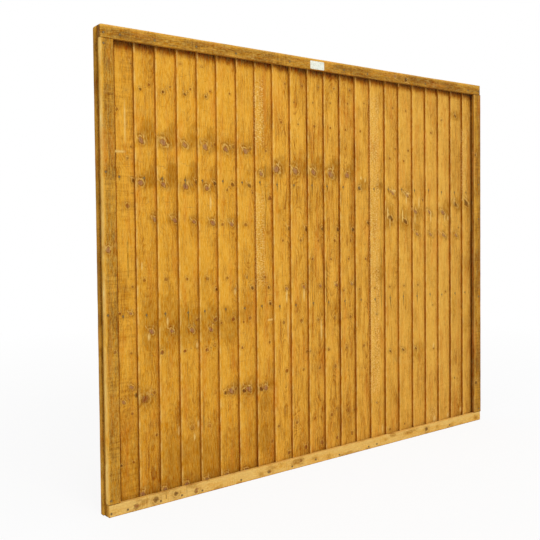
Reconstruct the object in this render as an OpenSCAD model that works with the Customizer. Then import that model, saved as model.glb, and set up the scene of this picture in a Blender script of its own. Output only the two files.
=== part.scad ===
// Closeboard fence panel. Upright feather-edge boards, each lapping the one before,
// are nailed to a back frame of sawn battens and held in front by a thinner trim frame.
// X runs along the panel, -Y is the front and +Z is up. The origin is at the middle of
// the width and the thickness, level with the foot of the panel.

/* [Panel] */
// Width over the stiles
panel_w = 1828; // [1600:1:1980]
// Height from foot to top
panel_h = 1520; // [1200:1:1830]
// How many boards fill the width
board_count = 22; // [21:1:25]

/* [Boards] */
// Width of a board as sawn
board_w = 100; // [94:1:115]
// Thickness at the thick edge
board_thick = 9; // [7:0.5:14]
// Thickness at the thin edge
board_thin = 4; // [3:0.5:6]
// How far the first board laps under the second
first_lap = 6; // [3:1:12]
// How far the boards stop short at the top and at the foot
board_end_gap = 3; // [0.5:0.5:8]
// How far the last board stays inside the outer edge of the stile
last_board_recess = 7; // [3:1:14]

/* [Back frame] */
// Thickness of the back battens
back_t = 18; // [16:1:32]
// Width of the back stiles
back_stile_w = 46; // [40:1:60]
// Height of each back rail
back_rail_h = 42; // [38:1:60]
// How far the strip between the left stiles stays inside their outer edge
edge_strip_recess = 5; // [1:0.5:10]
// Width of that strip
edge_strip_w = 20; // [16:0.5:30]
// Radius of the worn corner at the top of the left edge
top_corner_r = 10; // [4:0.5:14]

/* [Front trim] */
// Thickness of the front trim
front_t = 14; // [10:1:20]
// Width of the front stiles
front_stile_w = 46; // [40:1:60]
// Height of the front top rail
top_rail_h = 42; // [36:1:60]
// Height of the front bottom rail
bottom_rail_h = 38; // [34:1:60]
// How far the top rail stops short of the left edge
top_rail_left_gap = 1; // [0.5:0.5:8]
// How far the bottom rail stops short of the left edge
bottom_rail_left_gap = 6.5; // [0.5:0.5:9]
// How far both rails stop short of the right edge
rail_right_gap = 5; // [0.5:0.5:9]
// Radius of the waney outer edge of the left stile
wane_r = 11; // [4:0.5:13]
// Radius of the worn lower corner of the left stile
foot_corner_r = 9; // [4:0.5:16]
// Face height of the wane along the top rail, at its left end
top_wane_h = 9; // [3:0.5:10]
// Depth of the wane along the top rail, at its left end
top_wane_d = 7; // [3:0.5:10]

/* [Nails] */
// Diameter of a nail's shank
shank_d = 2.7; // [2:0.1:3.4]
// Diameter of a nail's head
head_d = 6.6; // [5:0.1:8]
// Thickness of a nail's head
head_t = 1.2; // [0.8:0.1:2]
// Length of a board nail
board_nail_l = 24; // [18:1:25]
// Length of a trim nail
trim_nail_l = 45; // [35:1:46]
// How far a nail's head is driven below the wood
head_sink = 0.3; // [0.1:0.1:1]

/* [Label] */
// Width of the blank label
label_w = 67; // [40:1:80]
// Height of the blank label
label_h = 30; // [20:1:32]
// Thickness of the blank label
label_t = 0.4; // [0.2:0.1:1]
// Radius of its corners
label_r = 3; // [1:0.5:6]
// How far it stays above the lower edge of the top rail
label_up = 2; // [0.5:0.5:6]

/* [Hidden] */
$fn = 48;
// Play between pieces that seat on each other
seat_gap = 0.2;
// Play all round a nail in its hole
nail_gap = 0.15;
// Overrun that takes a cut clear of the surface
over = 5;
// Height of a nail above the lower edge of the top rail, and above the foot
top_nail_up = 15;
bottom_nail_up = 11;
// How far the corner and stile nails stand in from the outer edge
edge_nail_in = 14;
// How far each row of board nails falls from left to right
upper_row_fall = 20;
lower_row_fall = 30;
// How far a nail may stray from the line of its row
nail_stray = 4;
// Length of a nail's point
point_l = 5;

// Visible width of each board, as a share of the average
cover_shares = [
    0.93, 0.95, 0.97, 0.97, 0.97, 1.03, 0.98, 0.98, 1.01, 1.05, 1.01,
    1.01, 1.03, 1.01, 1.07, 1.00, 1.06, 1.02, 1.03, 1.02, 1.02, 0.80
];
// Place of each board's nails, as a share of its width from the thick edge
upper_nail_shares = [
    0.44, 0.33, 0.21, 0.30, 0.19, 0.24, 0.23, 0.21, 0.20, 0.18, 0.22,
    0.16, 0.19, 0.22, 0.25, 0.22, 0.20, 0.14, 0.22, 0.24, 0.30, 0.29
];
lower_nail_shares = [
    0.49, 0.35, 0.26, 0.35, 0.22, 0.30, 0.29, 0.25, 0.28, 0.23, 0.25,
    0.21, 0.25, 0.31, 0.28, 0.31, 0.30, 0.30, 0.31, 0.25, 0.34, 0.20
];
// How far each board's nails stray from their row, as a share of the stray allowed
stray_shares = [0.1, 0, 0.2, -0.3, 0, 0.4, 0, 0.9, -0.5, -0.2, 0.3];
// Height of the middle rails, as shares of the panel's height
lower_rail_share = 0.397;
upper_rail_share = 0.689;
// Nails along the front rails: the whole part is the board, the rest a share of its cover
top_nail_shares = [0.30, 1.90, 3.90, 5.90, 8.88, 12.15, 13.70, 16.40, 17.80, 21.35];
bottom_nail_shares = [
    0.32, 1.88, 2.90, 3.92, 5.92, 7.47, 8.82, 10.20, 11.69, 13.64, 14.20, 19.67
];
// Nails up the front stiles, as shares of the panel's height
left_stile_nail_shares = [0.034, 0.414, 0.704, 0.961];
right_stile_nail_shares = [0.034, 0.373, 0.605, 0.707];
// Middle of the label, as a share of the panel's width from its left edge
label_share = 0.472;

board_colour = "#cf9436";
frame_colour = "#b98a40";
nail_colour = "#8f908c";
label_colour = "#e9ecdc";

// Where the boards show, between the front stiles
inner_left = front_stile_w - panel_w / 2;
inner_right = panel_w / 2 - front_stile_w;
function share_sum(n) = n <= 0 ? 0 : share_sum(n - 1) + cover_shares[(n - 1) % len(cover_shares)];
cover = (inner_right - inner_left) / share_sum(board_count);
seams = [for (i = [0:board_count]) inner_left + cover * share_sum(i)];
last = board_count - 1;

// The strip that fills the space between the left stiles
edge_strip_x = edge_strip_recess - panel_w / 2;
edge_strip_end = edge_strip_x + edge_strip_w;

// Thick left edge, width and thin edge of board i. The first board starts clear of the strip,
// which makes it lap further under the second where it is wide, and the last is ripped to fit.
function edge_x(i) =
    i == 0 ? max(seams[1] + first_lap - board_w, edge_strip_end + seat_gap) : seams[i];
function wide(i) = i == last ? panel_w / 2 - last_board_recess - edge_x(i) : board_w;
taper = atan((board_thick - board_thin) / board_w);
function tail_t(i) = board_thick - wide(i) * tan(taper);

// Height above the back rails of the face of board i at x, when it leans by the angle lean
function face_up(i, lean, x) =
    let (heel = edge_x(i) + wide(i) * cos(lean) + tail_t(i) * sin(lean))
    seat_gap + tail_t(i) * cos(lean) + (heel - x) * tan(lean + taper);
function next_lean(i, lean) =
    i == last ? 0 : asin(face_up(i, lean, edge_x(i + 1)) / wide(i + 1));
// The first board lies flat on the rails, and each later one leans on the one before
leans = [for (i = 0, lean = 0; i < board_count; lean = next_lean(i, lean), i = i + 1) lean];
function crest(i) = seat_gap + wide(i) * sin(leans[i]) + board_thick * cos(leans[i]);
layer_d = max([for (i = [0:last]) crest(i)]) + seat_gap;

// Planes across the thickness, from the label at the front to the back of the battens
panel_d = label_t + front_t + layer_d + back_t;
front_y = label_t - panel_d / 2;
layer_y = front_y + front_t;
back_y = layer_y + layer_d;

upper_rail_z = panel_h * upper_rail_share;
lower_rail_z = panel_h * lower_rail_share;
top_nail_z = panel_h - top_rail_h + top_nail_up;
left_nail_x = edge_nail_in - panel_w / 2;
right_nail_x = panel_w / 2 - edge_nail_in;

function stray(i) = nail_stray * stray_shares[i % len(stray_shares)];
function rail_nail_x(share) =
    let (i = min(floor(share), last))
    seams[i] + (share - floor(share)) * (seams[i + 1] - seams[i]);
// Each trim nail as [x, z]
top_spots = concat(
    [[left_nail_x, top_nail_z]],
    [for (i = [0:len(top_nail_shares) - 1]) [rail_nail_x(top_nail_shares[i]), top_nail_z + stray(i)]],
    [[right_nail_x, top_nail_z]]
);
bottom_spots = concat(
    [[left_nail_x, bottom_nail_up]],
    [
        for (i = [0:len(bottom_nail_shares) - 1])
            [rail_nail_x(bottom_nail_shares[i]), bottom_nail_up + stray(i)]
    ]
);
left_spots = [for (share = left_stile_nail_shares) [left_nail_x, share * panel_h]];
right_spots = [for (share = right_stile_nail_shares) [right_nail_x, share * panel_h]];

function two_digits(n) = n < 10 ? str("0", n) : str(n);
function board_name(i) = str("board_", two_digits(i + 1));

// A nail driven down from the plane z = 0, with its head sunk just below it
module nail(length) {
    translate([0, 0, -head_sink - head_t]) cylinder(d = head_d, h = head_t);
    translate([0, 0, point_l - head_sink - length]) cylinder(d = shank_d, h = length - head_t - point_l);
    translate([0, 0, -head_sink - length]) cylinder(d1 = 0, d2 = shank_d, h = point_l);
}

// The hole that a nail leaves: a shank hole, with a wider one where the head went in
module nail_hole(length) {
    hole_l = head_sink + length + nail_gap;
    head_l = head_sink + head_t + nail_gap;
    translate([0, 0, -hole_l]) cylinder(d = shank_d + 2 * nail_gap, h = hole_l + over);
    translate([0, 0, -head_l]) cylinder(d = head_d + 2 * nail_gap, h = head_l + over);
}

// Carries a nail to a spot on the front trim, square to the panel
module at_trim(spot) {
    translate([spot.x, front_y, spot.y]) rotate([90, 0, 0]) children();
}

// Carries a shape drawn with its back on y = 0 and its thin edge at x = 0 to board i
module at_board(i) {
    translate([edge_x(i) + wide(i) * cos(leans[i]), back_y - seat_gap, 0])
        rotate([0, 0, leans[i]])
            children();
}

// Carries a nail to the face of board i, square to that face, in a row at height z
module at_board_nail(i, share, z, fall) {
    from_thick = share * board_w;
    row_z = z + fall / 2 - fall * i / last + stray(i);
    at_board(i)
        translate([from_thick - wide(i), from_thick * tan(taper) - board_thick, row_z])
            rotate([0, 0, taper])
                rotate([90, 0, 0])
                    children();
}

module at_upper_nail(i) {
    at_board_nail(i, upper_nail_shares[i % len(upper_nail_shares)], upper_rail_z, upper_row_fall)
        children();
}

module at_lower_nail(i) {
    at_board_nail(i, lower_nail_shares[i % len(lower_nail_shares)], lower_rail_z, lower_row_fall)
        children();
}

module trim_nails(spots) {
    color(nail_colour) for (spot = spots) at_trim(spot) nail(trim_nail_l);
}

module trim_holes(spots) {
    for (spot = spots) at_trim(spot) nail_hole(trim_nail_l);
}

// One feather-edge board: a long wedge, leaning on the board before it
module board(i) {
    near_trim = [
        for (spot = concat(top_spots, bottom_spots, left_spots, right_spots))
            if (abs(spot.x - edge_x(i) - wide(i) / 2) < wide(i)) spot
    ];
    color(board_colour) difference() {
        at_board(i)
            translate([0, 0, board_end_gap])
                linear_extrude(panel_h - 2 * board_end_gap)
                    polygon([[0, 0], [-wide(i), 0], [-wide(i), -board_thick], [0, -tail_t(i)]]);
        for (n = [i:min(i + 1, last)]) {
            at_upper_nail(n) nail_hole(board_nail_l);
            at_lower_nail(n) nail_hole(board_nail_l);
        }
        trim_holes(near_trim);
    }
}

// Square-sawn batten of the back frame, from its low left corner
module back_batten(x, z, width, height) {
    translate([x, back_y, z]) cube([width, back_t, height]);
}

module back_stile(x, spots) {
    color(frame_colour) difference() {
        back_batten(x, 0, back_stile_w, panel_h);
        trim_holes(spots);
        for (n = [0, last]) {
            at_upper_nail(n) nail_hole(board_nail_l);
            at_lower_nail(n) nail_hole(board_nail_l);
        }
    }
}

module back_left_stile() {
    difference() {
        back_stile(-panel_w / 2, concat(left_spots, [top_spots[0], bottom_spots[0], bottom_spots[1]]));
        top_corner();
    }
}

module back_right_stile() {
    back_stile(panel_w / 2 - back_stile_w, concat(right_spots, [top_spots[len(top_spots) - 1]]));
}

// Rail of the back frame, cut to fit between the back stiles, with its lower edge at z
module back_rail(z) {
    x = back_stile_w + seat_gap - panel_w / 2;
    color(frame_colour) difference() {
        back_batten(x, z, -2 * x, back_rail_h);
        children();
    }
}

module back_top_rail() {
    back_rail(panel_h - back_rail_h) trim_holes(top_spots);
}

module back_upper_rail() {
    back_rail(upper_rail_z - back_rail_h / 2)
        for (i = [0:last]) at_upper_nail(i) nail_hole(board_nail_l);
}

module back_lower_rail() {
    back_rail(lower_rail_z - back_rail_h / 2)
        for (i = [0:last]) at_lower_nail(i) nail_hole(board_nail_l);
}

module back_bottom_rail() {
    back_rail(0) trim_holes(bottom_spots);
}

// Strip that fills the space between the left stiles, outside the first board's thick edge
module left_edge_strip() {
    color(frame_colour) difference() {
        translate([edge_strip_x, layer_y + seat_gap, 0])
            cube([edge_strip_w, layer_d - 2 * seat_gap, panel_h]);
        top_corner();
        trim_holes(concat(left_spots, [top_spots[0], bottom_spots[0]]));
    }
}

// What is left outside a rounded corner of radius r, for cutting a corner at the origin round
module corner_waste(r, length) {
    difference() {
        translate([-over, -over, -over]) cube([r + over, r + over, length + 2 * over]);
        translate([r, r, -2 * over]) cylinder(r = r, h = length + 4 * over);
    }
}

// What is worn off the top of the left edge, through the stile, the strip and the top rail
module top_corner() {
    translate([-panel_w / 2, front_y, panel_h])
        rotate([-90, 0, 0])
            corner_waste(top_corner_r, panel_d);
}

// Front stile, cut to fit between the front rails
front_stile_z = bottom_rail_h + seat_gap;
front_stile_h = panel_h - top_rail_h - bottom_rail_h - 2 * seat_gap;

module front_stile(x) {
    translate([x, front_y, front_stile_z]) cube([front_stile_w, front_t, front_stile_h]);
}

module front_left_stile() {
    color(frame_colour) difference() {
        front_stile(-panel_w / 2);
        translate([-panel_w / 2, front_y, front_stile_z]) {
            corner_waste(wane_r, front_stile_h);
            translate([0, front_t, 0]) rotate([90, 0, 0]) corner_waste(foot_corner_r, front_t);
        }
        trim_holes(left_spots);
    }
}

module front_right_stile() {
    color(frame_colour) difference() {
        front_stile(panel_w / 2 - front_stile_w);
        trim_holes(right_spots);
    }
}

// Full-width rail of the front trim, from the given gap at its left end
module front_rail(left_gap, z, height) {
    translate([left_gap - panel_w / 2, front_y, z])
        cube([panel_w - left_gap - rail_right_gap, front_t, height]);
}

// The waney upper arris of the top rail, which runs out to nothing where the last board begins
module top_wane() {
    reach = edge_x(last) + panel_w / 2;
    slope = atan2(top_wane_h, top_wane_d);
    depth = top_wane_h * cos(slope);
    translate([edge_x(last), front_y, panel_h])
        rotate([slope, 0, 0])
            rotate([0, -atan(depth / reach), 0])
                translate([-reach - over, -panel_d, 0])
                    cube([reach + over + over, 2 * panel_d, panel_d]);
}

module front_top_rail() {
    color(frame_colour) difference() {
        front_rail(top_rail_left_gap, panel_h - top_rail_h, top_rail_h);
        top_wane();
        top_corner();
        trim_holes(top_spots);
    }
}

module front_bottom_rail() {
    color(frame_colour) difference() {
        front_rail(bottom_rail_left_gap, 0, bottom_rail_h);
        trim_holes(bottom_spots);
    }
}

module upper_row_nails() {
    color(nail_colour) for (i = [0:last]) at_upper_nail(i) nail(board_nail_l);
}

module lower_row_nails() {
    color(nail_colour) for (i = [0:last]) at_lower_nail(i) nail(board_nail_l);
}

// Blank label on the face of the top rail, with round corners
module label() {
    color(label_colour)
        translate([(label_share - 1 / 2) * panel_w, front_y, panel_h - top_rail_h + label_up + label_h / 2])
            rotate([90, 0, 0])
                linear_extrude(label_t) {
                    square([label_w, label_h - 2 * label_r], center = true);
                    square([label_w - 2 * label_r, label_h], center = true);
                    for (x = [-1, 1], z = [-1, 1])
                        translate([x * (label_w / 2 - label_r), z * (label_h / 2 - label_r)])
                            circle(label_r);
                }
}

for (i = [0:last]) board(i);
back_left_stile();
back_right_stile();
back_top_rail();
back_upper_rail();
back_lower_rail();
back_bottom_rail();
left_edge_strip();
front_left_stile();
front_right_stile();
front_top_rail();
front_bottom_rail();
upper_row_nails();
lower_row_nails();
trim_nails(top_spots);  // top_rail_nails
trim_nails(bottom_spots);  // bottom_rail_nails
trim_nails(left_spots);  // left_stile_nails
trim_nails(right_spots);  // right_stile_nails
label();
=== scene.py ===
"""Closeboard fence panel: rough-sawn boards and battens, nails, label and studio,
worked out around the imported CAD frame. Lengths inside the functions are in millimetres."""

import math
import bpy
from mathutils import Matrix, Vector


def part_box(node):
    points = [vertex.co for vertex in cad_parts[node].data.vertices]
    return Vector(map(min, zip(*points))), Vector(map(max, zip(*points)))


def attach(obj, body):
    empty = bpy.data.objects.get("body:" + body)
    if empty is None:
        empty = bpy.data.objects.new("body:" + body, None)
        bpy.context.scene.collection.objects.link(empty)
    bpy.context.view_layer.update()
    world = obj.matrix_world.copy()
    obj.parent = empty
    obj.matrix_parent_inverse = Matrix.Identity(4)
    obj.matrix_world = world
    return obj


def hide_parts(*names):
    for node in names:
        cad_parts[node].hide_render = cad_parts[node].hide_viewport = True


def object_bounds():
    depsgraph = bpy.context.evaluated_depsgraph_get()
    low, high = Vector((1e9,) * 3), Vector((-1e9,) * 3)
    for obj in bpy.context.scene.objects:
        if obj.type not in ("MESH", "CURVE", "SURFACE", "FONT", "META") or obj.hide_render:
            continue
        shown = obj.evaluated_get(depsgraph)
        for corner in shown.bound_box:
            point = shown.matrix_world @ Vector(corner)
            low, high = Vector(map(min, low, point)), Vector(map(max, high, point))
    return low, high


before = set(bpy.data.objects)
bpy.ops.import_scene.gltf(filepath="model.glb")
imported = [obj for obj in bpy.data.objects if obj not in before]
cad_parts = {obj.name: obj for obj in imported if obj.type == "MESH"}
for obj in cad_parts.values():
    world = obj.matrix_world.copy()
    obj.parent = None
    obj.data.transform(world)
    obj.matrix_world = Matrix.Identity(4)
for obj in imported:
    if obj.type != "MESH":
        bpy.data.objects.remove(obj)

from types import SimpleNamespace
from typing import NamedTuple

import bpy
import numpy as np
from bpy.props import FloatProperty, FloatVectorProperty, PointerProperty
from mathutils import Matrix, Vector

bl_info = {
    "name": "Closeboard Fence Panel",
    "version": (1, 0, 0),
    "blender": (4, 5, 0),
    "location": "View3D > Sidebar > Fence",
    "description": "Rough-sawn boards, battens, nails and a studio around the packed panel",
    "category": "Add Mesh",
}

CAD_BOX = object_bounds()
MM = 0.001
BODY = "root"
BOARD_COUNT = sum(name.startswith("board_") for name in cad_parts)
# First and last of the middle boards, whose grain is coarser than at the left and right.
MIDDLE_BOARDS = (9, 14)
EDGE_STRIP = "left_edge_strip"

# Radii (mm) of the worn corners at the top of the left edge and at the stile's foot, and
# the length over which the top rail's wane runs out.
TOP_CORNER, FOOT_CORNER, WANE_FADE = 10.0, 9.0, 260.0
# Least gap (mm) between two nails of a row, depth of a head's end, radius of the stained
# ring round a nail, width of its hollow's rim.
NAIL_GAP, HEAD_DEPTH, RING_RADIUS, HOLLOW_RIM = 9.0, 1.6, 4.2, 1.1
# Mesh rows (mm) about a nail and from a batten's end, least distance between two rows,
# usual distance along a batten, and across one without nails.
NAIL_ROWS = np.array([-5.2, -4.6, -4.0, -3.5, -2.4, -1.2, 0, 1.2, 2.4, 3.5, 4.0, 4.6, 5.2])
END_ROWS = np.array([0.5, 1.2, 2.0, 3.2, 4.6, 6.2, 8.0, 10.0])
ROW_GAP, BATTEN_ROWS, PLAIN_COLUMNS = 0.25, 7.0, 5.0
SHARP_ANGLE = math.radians(38)

# Knot kinds, in the order of the colour table, how far the larger kinds lean (shift across
# for each unit of height), and that lean's share at the right and elsewhere.
DARK, RINGED, RED, BLACK, PALE = range(5)
SLANTS = {RINGED: 0.8, BLACK: 0.6}
RIGHT_LEAN, LEFT_LEAN = 1.1, 0.4

# Limbs of the log that cross neighbouring boards: first and last board, height (mm) on
# each of the two, place across the shown strip (share) on each, radius (mm), kind.
LIMBS = (
    (2, 5, 1337, 1336, 0.32, 0.48, 4.2, BLACK), (2, 6, 1355, 1357, 0.74, 0.72, 3.4, RED),
    (4, 5, 1434, 1436, 0.21, 0.27, 4.0, PALE), (2, 7, 1176, 1162, 0.31, 0.50, 9.0, RINGED),
    (5, 7, 1179, 1171, 0.97, 0.79, 5.0, DARK), (2, 5, 1041, 1028, 0.26, 0.50, 8.0, RINGED),
    (4, 7, 1047, 1043, 1.03, 0.72, 6.0, BLACK), (2, 6, 925, 907, 0.92, 0.74, 7.0, RINGED),
    (6, 7, 907, 904, 0.24, 0.47, 5.5, DARK), (2, 8, 731, 716, 0.37, 0.53, 5.0, DARK),
    (5, 8, 683, 677, 0.99, 0.75, 5.0, BLACK), (2, 5, 562, 547, 0.68, 0.62, 7.0, RINGED),
    (4, 7, 585, 573, 0.98, 0.68, 6.0, RED), (6, 7, 567, 562, 0.12, 0.28, 4.0, DARK),
    (3, 5, 491, 481, 0.13, 0.38, 5.5, RED), (4, 5, 492, 492, 0.92, 0.81, 5.0, PALE),
    (4, 5, 225, 219, 0.58, 0.45, 6.0, PALE), (6, 8, 325, 316, 0.62, 0.50, 9.0, RINGED),
    (6, 8, 322, 314, 0.30, 0.22, 6.5, BLACK), (2, 7, 42, 33, 0.14, 0.38, 7.0, RINGED),
    (9, 13, 1104, 1092, 0.22, 0.53, 11.0, RINGED), (9, 14, 1275, 1268, 0.53, 0.40, 4.2, DARK),
    (9, 13, 1416, 1424, 0.80, 0.72, 3.4, RED), (10, 14, 1352, 1380, 0.25, 0.70, 3.2, DARK),
    (9, 13, 889, 880, 1.00, 0.92, 6.5, BLACK), (9, 13, 845, 838, 0.58, 0.75, 4.6, DARK),
    (9, 13, 669, 665, 0.79, 0.82, 5.4, RINGED), (9, 13, 544, 537, 0.58, 0.69, 5.4, DARK),
    (9, 12, 363, 351, 0.75, 0.71, 5.0, DARK), (9, 13, 166, 166, 0.21, 0.51, 5.4, DARK),
    (9, 13, 58, 74, 0.87, 0.77, 6.5, RED), (11, 14, 772, 763, 0.26, 0.76, 4.4, RED),
    (11, 14, 425, 415, 0.06, 0.60, 4.6, DARK), (12, 13, 185, 163, 0.77, 0.95, 3.8, DARK),
    (13, 18, 644, 642, 0.23, 0.45, 4.2, DARK), (16, 17, 1377, 1372, 0.66, 0.60, 4.0, DARK),
    (16, 17, 1211, 1208, 0.88, 0.78, 4.4, DARK), (16, 17, 1169, 1163, 0.41, 0.42, 4.0, RED),
    (16, 17, 1030, 1020, 0.60, 0.66, 9.0, RINGED), (16, 17, 925, 912, 0.46, 0.53, 10.0, BLACK),
    (16, 18, 376, 371, 0.39, 0.24, 5.6, BLACK), (16, 17, 52, 60, 0.30, 0.40, 5.0, DARK),
    (18, 20, 952, 948, 0.23, 0.40, 9.0, RINGED), (18, 21, 858, 845, 0.37, 0.55, 7.5, RINGED),
    (19, 20, 549, 600, 0.61, 0.67, 4.0, DARK), (21, 22, 985, 992, 0.46, 0.45, 12.0, BLACK),
)

# Knots on one board: board, height (mm), place across (share), radius (mm), kind.
KNOTS = (
    (1, 1419, 0.96, 4.0, PALE), (1, 1330, 0.70, 3.0, PALE), (1, 1268, 0.25, 3.6, DARK),
    (1, 1154, 0.89, 3.4, DARK), (1, 1118, 0.72, 3.4, DARK), (1, 1048, 0.98, 5.0, BLACK),
    (1, 967, 0.67, 5.0, RED), (1, 711, 0.87, 3.6, DARK), (1, 629, 0.23, 3.6, RED),
    (1, 626, 0.74, 5.0, RINGED), (1, 499, 0.74, 4.0, DARK), (1, 391, 0.72, 6.0, RINGED),
    (1, 362, 0.98, 7.5, BLACK), (1, 347, 0.34, 6.0, RINGED), (1, 306, 0.75, 4.0, RED),
    (1, 148, 0.18, 4.0, BLACK), (1, 150, 0.78, 3.4, DARK), (6, 1025, 0.52, 4.0, DARK),
    (7, 1017, 0.92, 3.6, DARK), (7, 473, 0.19, 4.6, RED), (2, 348, 0.32, 12.0, RED),
    (2, 363, 0.80, 5.0, DARK), (2, 223, 0.88, 4.0, DARK), (6, 330, 0.90, 4.0, DARK),
    (8, 1085, 0.35, 8.0, RINGED), (8, 1167, 0.67, 4.6, DARK), (8, 999, 0.88, 7.0, RED),
    (8, 618, 0.85, 4.6, BLACK), (8, 478, 0.80, 4.2, DARK), (8, 114, 0.88, 4.6, DARK),
    (10, 425, 0.96, 4.6, DARK), (14, 1044, 0.30, 7.0, BLACK), (14, 905, 0.96, 5.0, BLACK),
    (15, 536, 0.46, 3.2, RED), (15, 175, 0.40, 3.6, RINGED), (18, 1002, 0.89, 4.0, RED),
    (19, 1290, 0.50, 5.0, RED), (19, 358, 0.68, 4.0, DARK), (20, 1350, 0.30, 4.0, RED),
    (21, 1375, 0.45, 7.0, BLACK), (21, 883, 0.77, 4.2, DARK), (21, 211, 0.34, 4.2, BLACK),
)

# Darker olive and ochre patches: board, place across (share), height (mm), half width
# (share), half height (mm), strength (below 0 is paler).
PATCHES = (
    (1, 0.5, 180, 0.9, 240, 0.45), (2, 0.65, 1216, 0.35, 30, 0.8),
    (2, 0.85, 1065, 0.25, 45, 0.7), (2, 0.60, 585, 0.55, 110, 0.7),
    (3, 0.55, 585, 0.70, 100, 0.5), (3, 0.85, 1222, 0.25, 28, 0.7),
    (3, 0.80, 1082, 0.32, 34, 1.0), (5, 0.85, 1080, 0.25, 30, 0.8),
    (5, 0.75, 1215, 0.30, 26, 0.7), (3, 0.5, 420, 0.9, 480, 0.30),
    (4, 0.8, 1218, 0.30, 30, 0.6), (4, 0.85, 1085, 0.25, 36, 1.0),
    (4, 0.5, 420, 0.9, 480, 0.35), (4, 0.5, 570, 0.8, 70, 0.5), (5, 0.5, 560, 0.8, 70, 0.5),
    (5, 0.5, 90, 0.9, 90, 0.7), (5, 0.5, 420, 0.9, 480, 0.30), (4, 0.5, 100, 0.9, 90, 0.6),
    (3, 0.5, 110, 0.9, 90, 0.5), (6, 0.5, 555, 0.7, 80, 0.8), (7, 0.4, 600, 0.5, 60, 0.5),
    (6, 0.8, 330, 0.4, 20, 1.0), (7, 0.4, 326, 0.7, 16, 0.9), (8, 0.3, 322, 0.6, 14, 0.8),
    (2, 0.4, 350, 0.6, 40, 0.7), (6, 0.5, 110, 0.9, 120, 0.5), (7, 0.8, 210, 0.4, 160, 0.4),
    (8, 0.40, 270, 0.35, 40, 0.7), (8, 0.35, 130, 0.40, 60, 0.8), (9, 0.5, 900, 0.5, 90, 0.35),
    (11, 0.75, 1130, 0.35, 40, 0.8), (12, 0.75, 1120, 0.30, 40, 0.6),
    (13, 0.75, 1110, 0.30, 36, 0.4), (14, 0.6, 1060, 0.40, 26, 0.9),
    (15, 0.7, 1055, 0.35, 16, 1.0), (15, 0.7, 700, 0.5, 40, 0.6), (16, 0.3, 935, 0.5, 60, 0.9),
    (17, 0.4, 920, 0.5, 60, 0.8), (18, 0.3, 925, 0.5, 50, 0.8), (20, 0.8, 965, 0.4, 50, 0.8),
    (21, 0.6, 985, 0.4, 40, 0.9), (18, 0.5, 360, 0.7, 50, 0.6), (21, 0.5, 1375, 0.6, 26, 0.8),
    (22, 0.6, 960, 0.4, 60, 0.5), (12, 0.5, 300, 0.8, 200, -0.25),
    (10, 0.5, 620, 0.8, 300, -0.25), (17, 0.5, 500, 0.8, 300, -0.2),
)

# Pale chips and slivers of torn grain: board, place across (share), height (mm), half
# width (mm), half height (mm).
CHIPS = (
    (1, 0.30, 1137, 22, 3.5), (1, 0.62, 1230, 2.5, 62), (2, 0.27, 776, 1.8, 12),
    (2, 0.56, 545, 4, 12), (3, 0.45, 590, 4, 14), (3, 0.95, 222, 3, 14), (4, 0.92, 500, 4, 10),
    (4, 0.93, 232, 3, 14), (4, 0.72, 190, 3, 12), (5, 0.68, 980, 3, 26), (6, 0.90, 672, 4, 12),
    (8, 0.85, 560, 14, 3), (9, 0.80, 640, 4, 24), (9, 0.86, 525, 3, 55), (10, 0.80, 640, 4, 24),
    (11, 0.84, 500, 3, 44), (14, 0.42, 1084, 5, 5), (14, 0.74, 1076, 3, 9),
    (15, 0.51, 761, 1.6, 8), (15, 0.85, 60, 3, 20), (16, 0.73, 1037, 14, 5),
    (16, 0.22, 948, 3, 24), (16, 0.40, 905, 3, 20), (17, 0.77, 1027, 12, 5),
    (17, 0.30, 935, 3, 26), (17, 0.62, 1000, 3, 22), (18, 0.20, 925, 3, 22),
    (18, 0.55, 990, 3, 24), (19, 0.45, 930, 3, 26), (20, 0.60, 925, 3, 20),
    (21, 0.35, 1000, 3, 22), (19, 0.66, 370, 5, 10), (19, 0.74, 49, 10, 14),
    (20, 0.84, 50, 8, 10), (20, 0.90, 924, 4, 10), (21, 0.94, 60, 8, 10),
)

# Rough pale strips where the saw tore the face: board, from and to across (share), from
# and to height (mm), strength.
TORN = (
    (8, 0.0, 0.5, 1200, 1400, 1.0), (8, 0.0, 0.5, 700, 1000, 0.9),
    (15, 0.0, 0.62, 230, 1400, 0.9), (22, 0.0, 0.5, 1040, 1300, 0.7),
    (19, 0.2, 0.9, 30, 90, 0.6),
)

# Long drying cracks: board, place across (share), from and to height (mm).
CRACKS = (
    (1, 0.66, 745, 850), (8, 0.62, 900, 1110), (15, 0.80, 560, 1130), (5, 0.15, 200, 340),
    (12, 0.12, 610, 760),
)

# How far the nail's blue-black stain runs down the board (mm): upper and lower nail.
SHORT_STAIN = (11, 11)
STAIN_REACH = {
    4: (26, 34), 9: (26, 18), 11: (38, 14), 12: (24, 16), 13: (14, 28), 16: (14, 34),
    17: (12, 36), 18: (12, 34),
}

# Each board's tone against the mean, from paler (below 0) to darker.
BOARD_TONES = (
    -0.24, -0.10, -0.22, -0.30, -0.28, -0.26, -0.18, -0.12, -0.25, -0.10, -0.03,
    -0.05, -0.06, -0.12, -0.24, -0.18, -0.22, -0.24, -0.28, -0.30, -0.08, -0.20,
)

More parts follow.
